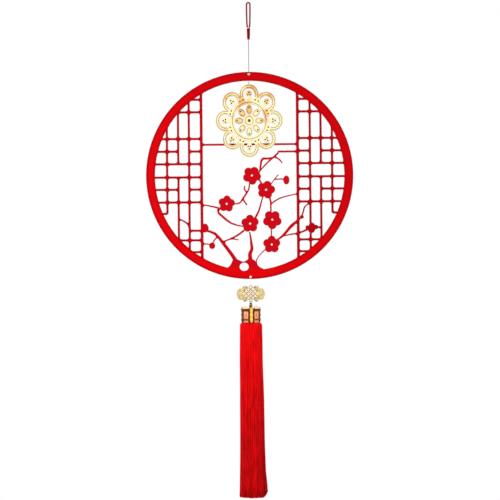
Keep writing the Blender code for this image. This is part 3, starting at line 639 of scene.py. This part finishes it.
gold_cord, cord_shader, cord_start = new_finish("gold cord", 0.5, {"Specular IOR Level": 0.3})
cord_side, cord_depth = (cord_start.math("ABSOLUTE", cord_start.axis(name)) for name in "XY")
cord_colour = cord_side.spread(*EAR_SIDE).mixed(ROSE_CREAM, PALE_YELLOW)
# Painted shade: cord that lies deep, near the knot's middle plane, is darker olive, in the weave and in the
# ears.
painted_cord_shade = cord_side.spread(*EAR_SIDE).mixed(WEAVE_SHADE_OLIVE, EAR_SHADE_OLIVE)
cord_depth.spread(*CORD_FRONT).mixed(painted_cord_shade, cord_colour).feed(cord_shader, "Base Color")
cord_start.noise(5200.0).bump(cord_shader, 0.0001, 0.5)
knot_routes = []
knot_reach = PAIR_PITCH * (PAIRS - 1) / 2
run_end = knot_reach + KNOT_CORD * 0.25
half_pair = KNOT_CORD * 0.47
for over_first in (0, 1):
    for pair in range(PAIRS):
        middle = PAIR_PITCH * pair - knot_reach
        stadium = []
        for way in (1, -1):
            for k in range(25):
                stadium.append((way * run_end * (k / 12 - 1), middle - way * half_pair))
            for k in range(1, 6):
                angle = math.pi * k / 6
                bight = way * (run_end + half_pair * math.sin(angle))
                stadium.append((bight, middle - way * half_pair * math.cos(angle)))
        route = []
        for along, across in stadium:
            phase = math.pi * (along + knot_reach) / PAIR_PITCH
            side = 1 if (pair + over_first) % 2 else -1
            rise = side * WEAVE_RISE * max(-1.0, min(1.0, 1.7 * math.cos(phase)))
            first, second = (along, across) if over_first else (across, along)
            left_right, up_down = (first - second) * math.sqrt(0.5), (first + second) * math.sqrt(0.5)
            route.append(Vector((left_right, rise, KNOT_Z + up_down)))
        knot_routes.append(route)
for side in (-1, 1):
    for x, z, half_width, half_height, rings in EARS:
        for ring in range(rings):
            inset = KNOT_CORD / MM * (0.5 + 1.05 * ring)
            ear = knot_ring(side * x, z, half_width - inset, half_height - inset, 48, 0.35, ring * 2)
            knot_routes.append(ear)
knot_routes += [knot_ring(*EYE), knot_ring(*NECK)]
knot_mesh = laid_cord(knot_routes, KNOT_CORD, KNOT_LAY, closed=True)
add_piece("knot_cords", knot_mesh, gold_cord, "gold_cord", "gold_knot")

# Double bead
# Two small dark varnished balls turned in one piece, threaded on the cord between the knot and the cap. A
# paler amber glint is painted round the groove between them.

bead_low, bead_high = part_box("bead")
DARK_VARNISH = (0.10, 0.05, 0.002, 1)
VARNISH_AMBER = (0.24, 0.14, 0.006, 1)
NECK_GLINT_AMBER = (0.50, 0.33, 0.11, 1)


def turned(profile, steps):
    """A turned solid about the Z axis from (radius, z) pairs, its first and last radius 0."""
    shape = bmesh.new()
    chain = [shape.verts.new((radius, 0, z)) for radius, z in profile]
    edges = [shape.edges.new(pair) for pair in zip(chain, chain[1:])]
    bmesh.ops.spin(
        shape,
        geom=chain + edges,
        axis=(0, 0, 1),
        cent=(0, 0, 0),
        steps=steps,
        angle=2 * math.pi,
        use_merge=True,
    )
    bmesh.ops.remove_doubles(shape, verts=shape.verts, dist=1e-7)
    bmesh.ops.recalc_face_normals(shape, faces=shape.faces)
    return shape


def mesh_from(shape, sharp=40):
    """A mesh of the shape, smooth but for edges sharper than this angle in degrees."""
    mesh = bpy.data.meshes.new("piece")
    shape.to_mesh(mesh)
    shape.free()
    mesh.shade_smooth()
    mesh.set_sharp_from_angle(angle=math.radians(sharp))
    return mesh


dark_bead, bead_shader, bead_start = new_finish("dark bead", 0.35, {"Specular IOR Level": 0.12})
bead_radius = (bead_high[0] - bead_low[0]) / 2
upper_radius = bead_radius * 0.86
upper_z = bead_high[2] - upper_radius * 0.97
lower_z = bead_low[2] + bead_radius * 0.78
neck_z = upper_z - upper_radius * 0.6
bead_profile = [(0.0, bead_high[2])]
for centre, radius, first, last in ((upper_z, upper_radius, 76, -36), (lower_z, bead_radius, 40, -50)):
    for degrees in range(first, last - 1, -10):
        angle = math.radians(degrees)
        bead_profile.append((radius * math.cos(angle), centre + radius * math.sin(angle)))
bead_profile.append((0.0, bead_low[2]))
varnish = bead_start.noise(420.0, 3.0).mixed(DARK_VARNISH, VARNISH_AMBER)
# Painted glint: a paler amber band round the groove between the balls.
from_neck = bead_start.math("ABSOLUTE", bead_start.axis("Z") - neck_z).spread(0.0002, 0.0006)
from_neck.mixed(NECK_GLINT_AMBER, varnish).feed(bead_shader, "Base Color")
add_piece("double_bead", mesh_from(turned(bead_profile, 28), 70), dark_bead, "dark_bead", "bead")

# Cap
# A gilt cage: four turned posts on feet, an eight-sided top plate with pierced crests between the posts, and
# an eight-sided rail near its foot. Light is painted into the gilding: bright where the front and back posts
# face out, a pale cream painted highlight on the crests, and brown elsewhere, painted shade on the posts'
# sides and painted shade with patina on the plate and rail, darkest on the feet of the side posts. Its
# measures are in millimetres.

CAP_TURN = math.radians(3.5)
POST_CIRCLE = 11.0
PLATE_TOP = -412.2
PLATE_FOOT = -415.2
RAIL_TOP = -426.2
RAIL_FOOT = -428.0
RAIL_CORNER = 13.6
PLATE_APOTHEM = RAIL_CORNER * math.cos(math.radians(22.5))
PLATE_OUTLINE = (
    (0, PLATE_TOP), (RAIL_CORNER - 0.5, PLATE_TOP), (RAIL_CORNER, PLATE_TOP - 0.3),
    (RAIL_CORNER, PLATE_TOP - 0.7), (RAIL_CORNER - 0.4, PLATE_TOP - 1.0),
    (RAIL_CORNER - 0.4, PLATE_TOP - 1.7), (RAIL_CORNER, PLATE_TOP - 2.0),
    (RAIL_CORNER - 0.1, PLATE_FOOT + 0.4), (RAIL_CORNER - 0.7, PLATE_FOOT), (0, PLATE_FOOT),
)
RAIL_OUTLINE = (
    (RAIL_CORNER - 1.2, RAIL_TOP), (RAIL_CORNER - 0.3, RAIL_TOP), (RAIL_CORNER, RAIL_TOP - 0.4),
    (RAIL_CORNER - 0.3, (RAIL_TOP + RAIL_FOOT) / 2), (RAIL_CORNER, RAIL_FOOT + 0.4),
    (RAIL_CORNER - 0.3, RAIL_FOOT), (RAIL_CORNER - 1.2, RAIL_FOOT), (RAIL_CORNER - 1.2, RAIL_TOP),
)
COLLAR_OUTLINE = (
    (0, -410.8), (1.9, -410.8), (2.4, -411.2), (2.1, -411.7), (2.6, -412.1), (2.6, -412.4), (0, -412.4),
)
CREST_FOOT = -412.7
CREST_MIDDLE = -411.1
CREST_HALF_WIDTH = 4.7
SCALLOPS = ((3.12, 1.3), (0.0, 2.1), (-3.12, 1.3))
SCALLOP_HALF_WIDTH = 1.55
CREST_HOLE = 0.42
POST_OUTLINE = (
    (0.3, -410.2), (1.4, -410.4), (1.9, -411.1), (1.5, -411.8), (2.3, -412.3), (2.4, -414.9),
    (2.3, -415.7), (1.9, -416.4), (1.8, -417.0), (2.05, -418.8), (2.4, -420.6), (2.05, -422.4),
    (1.8, -424.2), (1.9, -425.0), (2.35, -425.7), (2.4, -427.7), (2.2, -428.5), (1.6, -429.3),
    (1.9, -430.1), (1.3, -430.9), (0.3, -431.2),
)
HIGHLIT, GOLD, PATINA_AND_SHADE = 1.0, 0.5, 0.0
FOOT_SHADE_BROWN = (0.03, 0.001, 0.0005, 1)
PATINA_SHADE_BROWN = (0.13, 0.035, 0.006, 1)
BRIGHT_GILT = (0.95, 0.52, 0.08, 1)
HIGHLIGHT_CREAM = (0.95, 0.72, 0.46, 1)


def with_gilt_light(shape, brightness):
    """Stores the painted light of the gilding at each corner, by a number or by a function of the corner."""
    layer = shape.verts.layers.float.new("gilt_light_and_tone")
    shape.normal_update()
    for corner in shape.verts:
        corner[layer] = brightness(corner) if callable(brightness) else brightness
    return shape


def post_light(out, lit, foot):
    """The painted light on a post: lit where it faces out, painted shade at its sides, and another level
    below the rail.
    """

    def brightness(corner):
        facing_out = (corner.normal.dot(out) - 0.25) / 0.45
        return (lit if corner.co.z > RAIL_FOOT else foot) * min(1, max(0, facing_out))

    return brightness


def scaled_down(shape):
    bmesh.ops.scale(shape, vec=(MM, MM, MM), verts=shape.verts)
    return shape


def joined(shapes):
    """One shape from several, with what is stored at their corners."""
    whole = bmesh.new()
    for shape in shapes:
        mesh = bpy.data.meshes.new("part")
        shape.to_mesh(mesh)
        shape.free()
        whole.from_mesh(mesh)
        bpy.data.meshes.remove(mesh)
    return whole


def turned_to(shape, angle):
    bmesh.ops.rotate(shape, verts=shape.verts, cent=(0, 0, 0), matrix=Matrix.Rotation(angle, 3, "Z"))
    return shape


def on_side(shape, k, out):
    """Moves a shape that faces -Y to one of the four sides between the posts, this far out."""
    bmesh.ops.translate(shape, verts=shape.verts, vec=(0, -out, 0))
    return turned_to(shape, CAP_TURN + math.radians(90 * k + 135))


def slab(rounds, back, front, edge):
    """A flat piece in millimetres that faces -Y."""
    shape = bmesh.new()
    shape.from_mesh(cut_board(rounds, back, front, edge))
    return shape


cap_shapes = []
post_line = smooth_route([(radius, 0, z) for radius, z in POST_OUTLINE], 64)
post_profile = [(0, POST_OUTLINE[0][1]), *((p.x, p.z) for p in post_line), (0, POST_OUTLINE[-1][1])]
for k in range(4):
    angle = CAP_TURN + math.radians(90 * k)
    out = Vector((math.cos(angle), math.sin(angle), 0))
    post = turned(post_profile, 32)
    bmesh.ops.translate(post, verts=post.verts, vec=out * POST_CIRCLE)
    # Painted light: the front and back posts are lit; the side posts are in painted shade, darkest on their
    # feet.
    lit, foot = (0.6, 0.6) if k % 2 else (0.1, -1.0)
    cap_shapes.append(with_gilt_light(post, post_light(out, lit, foot)))
# The plate and rail get brown patina with painted shade.
for profile in (PLATE_OUTLINE, RAIL_OUTLINE):
    board = turned_to(turned(profile, 8), CAP_TURN + math.radians(22.5))
    cap_shapes.append(with_gilt_light(board, PATINA_AND_SHADE))
cap_shapes.append(with_gilt_light(turned(COLLAR_OUTLINE, 28), GOLD))
crest_outline = [Vector((-CREST_HALF_WIDTH, CREST_FOOT)), Vector((CREST_HALF_WIDTH, CREST_FOOT))]
for centre, rise in SCALLOPS:
    for degrees in range(0, 181, 15):
        angle = math.radians(degrees)
        across = centre + SCALLOP_HALF_WIDTH * math.cos(angle)
        crest_outline.append(Vector((across, CREST_MIDDLE + rise * math.sin(angle))))
crest_holes = [stamped_dot(Vector((x, CREST_MIDDLE)), CREST_HOLE, 10) for x, rise in SCALLOPS[::-1]]
for k in range(4):
    crest = slab([crest_outline, *crest_holes], 0.5, -0.5, 0.12)
    # The crests get a pale cream painted highlight.
    cap_shapes.append(with_gilt_light(on_side(crest, k, PLATE_APOTHEM - 1.0), HIGHLIT))
gilt, gilt_shader, gilt_start = new_finish("gilt", 0.35, {"Metallic": 0.5, "Specular IOR Level": 0.2})
# The stored painted light, varied a little at random, picks painted shade in brown, bright gilt or a painted
# highlight in cream.
gilt_light_and_tone = gilt_start.attribute("gilt_light_and_tone") + (gilt_start.noise(900.0, 3.0) - 0.5) * 0.2
shaded_gilt = gilt_light_and_tone.spread(0.0, 0.5).mixed(PATINA_SHADE_BROWN, BRIGHT_GILT)
gilt_colour = gilt_light_and_tone.spread(0.7, 1.0).mixed(shaded_gilt, HIGHLIGHT_CREAM)
gilt_light_and_tone.spread(-0.6, -0.2).mixed(FOOT_SHADE_BROWN, gilt_colour).feed(gilt_shader, "Base Color")
gilt_start.noise(1400.0, 3.0).bump(gilt_shader, 0.00008, 0.3)
cap_mesh = mesh_from(scaled_down(joined(cap_shapes)), 35)
add_piece("cap_cage", cap_mesh, gilt, "gold_metal", "cap_frame")

# Cap body
# A body inside the posts, notched to let them stand in it, dark brown as painted shade in the gaps beside
# the posts. Between the posts it carries four orange-pink enamelled panels in frames, each with a small
# raised lozenge, and a band round its foot. A rounded rectangle is given by its half width, top, foot and
# corner, in millimetres.

FRAME_OUTSIDE = (4.2, -415.5, -426.4, 0.5)
FRAME_OPENING = (3.5, -416.2, -425.6, 0.6)
PANEL = (3.8, -416.0, -425.9, 0.6)
FOOT_BAND = (4.2, -428.1, -431.1, 0.5)
LOZENGE = ((0.0, -417.8), (-1.1, -420.9), (0.0, -424.0), (1.1, -420.9))
LOZENGE_STANDS_OUT = 0.22
BODY_TOP = -415.25
BODY_FOOT = -431.2
PANEL_APOTHEM = 9.8
ENAMEL_PINK = (0.90, 0.40, 0.19, 1)
ENAMEL_DEEP = (0.76, 0.26, 0.11, 1)
LOZENGE_ORANGE = (0.42, 0.085, 0.02, 1)
BAND_PINK = (0.95, 0.50, 0.30, 1)
BAND_RED = (0.80, 0.14, 0.06, 1)
BODY_SHADE_BROWN = (0.10, 0.012, 0.003, 1)
BODY_RUST = (0.30, 0.07, 0.02, 1)
FRAME_RUST = (0.50, 0.14, 0.05, 1)
LOZENGE_RUST = (0.55, 0.13, 0.03, 1)


def box_outline(half_width, top, foot, corner):
    """A rounded rectangle as an outline."""
    square = [Vector((-half_width, foot)), Vector((half_width, foot))]
    square += [Vector((half_width, top)), Vector((-half_width, top))]
    return rounded(square, corner, corner)


core = bmesh.new()
core_corners = []
for k in range(4):
    for angle, apothem, half_width in ((90 * k, 8.3, 3.0), (90 * k + 45, PANEL_APOTHEM, 4.25)):
        out = Vector((math.cos(math.radians(angle)), math.sin(math.radians(angle)), 0))
        across = Vector((-out.y, out.x, 0))
        for side in (-1, 1):
            corner = out * apothem + across * side * half_width
            core_corners.append(core.verts.new((corner.x, corner.y, BODY_FOOT)))
core_top = bmesh.ops.extrude_face_region(core, geom=[core.faces.new(core_corners)])["geom"]
core_top = [v for v in core_top if isinstance(v, bmesh.types.BMVert)]
bmesh.ops.translate(core, verts=core_top, vec=(0, 0, BODY_TOP - BODY_FOOT))
bmesh.ops.recalc_face_normals(core, faces=core.faces)
bmesh.ops.bevel(core, geom=core.edges, offset=0.25, affect="EDGES", segments=2, profile=0.5, material=-1)
body_shade, body_shader, body_start = new_finish("cap body", 0.5, {})
# Painted shade: the body is dark brown, with random rusty patches, to darken the gaps beside the posts.
body_start.noise(700.0).mixed(BODY_SHADE_BROWN, BODY_RUST).feed(body_shader, "Base Color")
body_mesh = mesh_from(scaled_down(turned_to(core, CAP_TURN)))
add_piece("cap_body", body_mesh, body_shade, "orange_enamel", "cap_core")

panel_frames, panels, lozenges, feet_bands = [], [], [], []
edge_frame = [box_outline(*FRAME_OUTSIDE), box_outline(*FRAME_OPENING)[::-1]]
lozenge = rounded([Vector(corner) for corner in LOZENGE], 0.5, 0.5)
for k in range(4):
    panel_frames.append(on_side(slab(edge_frame, 0.35, -0.5, 0.12), k, PANEL_APOTHEM))
    panels.append(on_side(slab([box_outline(*PANEL)], 0.3, -0.2, 0.1), k, PANEL_APOTHEM))
    feet_bands.append(on_side(slab([box_outline(*FOOT_BAND)], 0.3, -0.5, 0.15), k, PANEL_APOTHEM))
    lozenge_out = PANEL_APOTHEM + LOZENGE_STANDS_OUT
    lozenges.append(on_side(slab([lozenge], 0.2, -0.25, 0.1), k, lozenge_out))
THIN_GLAZE = {"Coat Weight": 0.2}
frame_orange, frame_shader, frame_start = new_finish("panel frame", 0.35, THIN_GLAZE)
frame_start.noise(500.0).mixed(ENAMEL_DEEP, FRAME_RUST).feed(frame_shader, "Base Color")
enamel, enamel_shader, enamel_start = new_finish("orange enamel", 0.3, THIN_GLAZE)
enamel_patches = enamel_start.noise(260.0, 3.0).spread(0.35, 0.65)
enamel_patches.mixed(ENAMEL_DEEP, ENAMEL_PINK).feed(enamel_shader, "Base Color")
dark_enamel, dark_shader, dark_start = new_finish("dark orange enamel", 0.3, THIN_GLAZE)
dark_start.noise(600.0).mixed(LOZENGE_ORANGE, LOZENGE_RUST).feed(dark_shader, "Base Color")
pink_enamel, pink_shader, pink_start = new_finish("pink enamel", 0.35, THIN_GLAZE)
pink_fall = pink_start.axis("Z").spread(BODY_FOOT * MM, (BODY_FOOT + 3) * MM)
pink_fall.mixed(BAND_RED, BAND_PINK).feed(pink_shader, "Base Color")
for name, shapes, material in (
    ("foot_bands", feet_bands, pink_enamel),
    ("panel_frames", panel_frames, frame_orange),
    ("panels", panels, enamel),
    ("panel_lozenges", lozenges, dark_enamel),
):
    add_piece(name, mesh_from(scaled_down(joined(shapes))), material, "orange_enamel", "cap_core")

# Tassel
# More than two thousand fine glossy threads of red silk, bound in a head under the cap. They bend out over a
# shoulder and hang in locks that part a little. Their ends are cut level, but not quite even, and are a
# little shorter at the right.

SILK_RED = (0.88, 0.003, 0.004, 1)
SILK_DEEP = (0.26, 0.0005, 0.002, 1)
THREADS = 2300
SILK_DIAMETER = 0.64 * MM
LOCKS = 150
RIGHT_END_RISE = 6.0
TASSEL_LENGTH = 236.0
# Height of each level, and the threads' reach there to the left, to the right and in depth, in millimetres
TASSEL_LEVELS = (
    (-431.6, 12.6, 12.6, 12.4),
    (-432.6, 14.2, 14.2, 13.7),
    (-435.2, 14.7, 14.9, 14.3),
    (-455.0, 14.9, 15.2, 14.6),
    (-482.0, 15.2, 15.3, 14.8),
    (-536.0, 15.6, 16.6, 15.2),
    (-590.0, 15.8, 17.2, 15.5),
    (-631.0, 16.5, 18.5, 15.8),
    (-650.0, 16.8, 20.2, 16.0),
    (-667.0, 17.2, 20.6, 16.2),
)
random.seed(5)
lock_centres = []
for n in range(LOCKS):
    reach = math.sqrt((n + 0.5) / LOCKS)
    lock_centres.append((reach * math.cos(2.4 * n), reach * math.sin(2.4 * n)))
lock_sway = [(random.uniform(-1, 1), random.uniform(-1, 1), random.uniform(0, 6.3)) for _ in lock_centres]
silk_curve = bpy.data.curves.new("silk", "CURVE")
silk_curve.dimensions = "3D"
silk_curve.bevel_depth = SILK_DIAMETER / 2
silk_curve.bevel_resolution = 0
silk_curve.render_resolution_u = 0
silk_curve.use_fill_caps = True
shades = []
for n in range(THREADS):
    reach = math.sqrt((n + 0.5) / THREADS)
    angle = n * math.pi * (3 - math.sqrt(5))
    u, v = reach * math.cos(angle), reach * math.sin(angle)
    nearest = min(range(LOCKS), key=lambda k: (lock_centres[k][0] - u) ** 2 + (lock_centres[k][1] - v) ** 2)
    lock_u, lock_v = lock_centres[nearest]
    sway_u, sway_v, phase = lock_sway[nearest]
    wander_u, wander_v, own_phase = random.uniform(-1, 1), random.uniform(-1, 1), random.uniform(0, 6.3)
    shades.append(0.5 + 0.3 * math.sin(phase * 3) + random.uniform(-0.2, 0.2))
    end_rise = random.uniform(0, 1.8) + (random.uniform(0, 5) if random.random() < 0.05 else 0)
    end_rise += RIGHT_END_RISE * max(0.0, (u - 0.72) / 0.28) ** 1.5
    spline = silk_curve.splines.new("POLY")
    spline.points.add(len(TASSEL_LEVELS) - 1)
    for row, (point, (z, left, right, depth)) in enumerate(zip(spline.points, TASSEL_LEVELS)):
        down = (TASSEL_LEVELS[0][0] - z) / TASSEL_LENGTH
        gather = 0.16 * min(1.0, down * 2) * (0.5 + 0.5 * math.sin(phase + 5 * down))
        x = u + (lock_u - u) * gather
        y = v + (lock_v - v) * gather
        swing = 0.35 * min(1.0, down * 3)
        x_mm = x * (left if x < 0 else right) + swing * sway_u * math.sin(7 * down + phase)
        y_mm = y * depth + swing * sway_v * math.cos(6 * down + phase)
        x_mm += 0.45 * down * wander_u * math.sin(11 * down + own_phase)
        y_mm += 0.45 * down * wander_v * math.cos(9 * down + own_phase)
        last = row == len(TASSEL_LEVELS) - 1
        point.co = (x_mm * MM, y_mm * MM, (z + (end_rise if last else 0)) * MM, 1)
silk_mesh = mesh_of(silk_curve)
corners_a_thread = len(silk_mesh.vertices) // THREADS
shade = silk_mesh.attributes.new("shade", "FLOAT", "POINT")
for k, entry in enumerate(shade.data):
    entry.value = shades[k // corners_a_thread]
red_silk, silk_shader, silk_start = new_finish("red silk", 0.5, {"Specular IOR Level": 0.04})
drawn_sockets = {0: silk_start.place(), 1: (1, 1, 0.1)}
drawn_out = silk_start.node("ShaderNodeVectorMath", {"operation": "MULTIPLY"}, drawn_sockets)
streaks = silk_start.node("ShaderNodeTexNoise", {}, {"Vector": drawn_out, "Scale": 620.0, "Detail": 2.0})
# Painted shade: the silk darkens towards the bottom and at its right edge; the stored number and the streaks
# vary it at random.
tone_and_painted_shade = silk_start.attribute("shade") * 0.35 + silk_start.axis("Z").spread(-0.59, -0.43) * 0.47
tone_and_painted_shade = tone_and_painted_shade + streaks.spread(0.35, 0.6) * 0.45 - silk_start.axis("X").spread(0.010, 0.019) * 0.3
tone_and_painted_shade.mixed(SILK_DEEP, SILK_RED).feed(silk_shader, "Base Color")
add_piece("tassel_threads", silk_mesh, red_silk, "red_silk", "tassel")

# Floor and light
# A plain pale floor well below the hanging, a white room, and two large soft lamps in front of it.

FLOOR_Z = -0.95
FLOOR_PALE = (0.86, 0.86, 0.85, 1)
FLOOR_PALER = (0.9, 0.9, 0.89, 1)
floor_shape = bmesh.new()
bmesh.ops.create_circle(floor_shape, cap_ends=True, segments=64, radius=0.7)
bmesh.ops.translate(floor_shape, verts=floor_shape.verts, vec=(0, 0, FLOOR_Z))
floor_finish, floor_shader, floor_start = new_finish("floor", 0.8, {})
floor_start.noise(30.0).mixed(FLOOR_PALE, FLOOR_PALER).feed(floor_shader, "Base Color")
floor_mesh = mesh_from(floor_shape)
floor_mesh.materials.append(floor_finish)
floor = bpy.data.objects.new("floor", floor_mesh)
bpy.context.scene.collection.objects.link(floor)

world = bpy.data.worlds.new("white room")
world.use_nodes = True
world.node_tree.nodes["Background"].inputs["Color"].default_value = (1, 1, 1, 1)
world.node_tree.nodes["Background"].inputs["Strength"].default_value = 1.0
bpy.context.scene.world = world
bpy.context.scene.view_settings.view_transform = "Standard"
for name, place, size, power in (
    ("key lamp", (-0.9, -1.5, 0.7), 1.1, 16.0),
    ("fill lamp", (1.2, -1.4, -0.1), 1.2, 6.0),
):
    lamp = bpy.data.objects.new(name, bpy.data.lights.new(name, "AREA"))
    lamp.data.size = size
    lamp.data.energy = power
    lamp.location = place
    aim = Vector((0, 0, PICTURE_CENTRE_Z)) - Vector(place)
    lamp.rotation_euler = aim.to_track_quat("-Z", "Y").to_euler()
    bpy.context.scene.collection.objects.link(lamp)
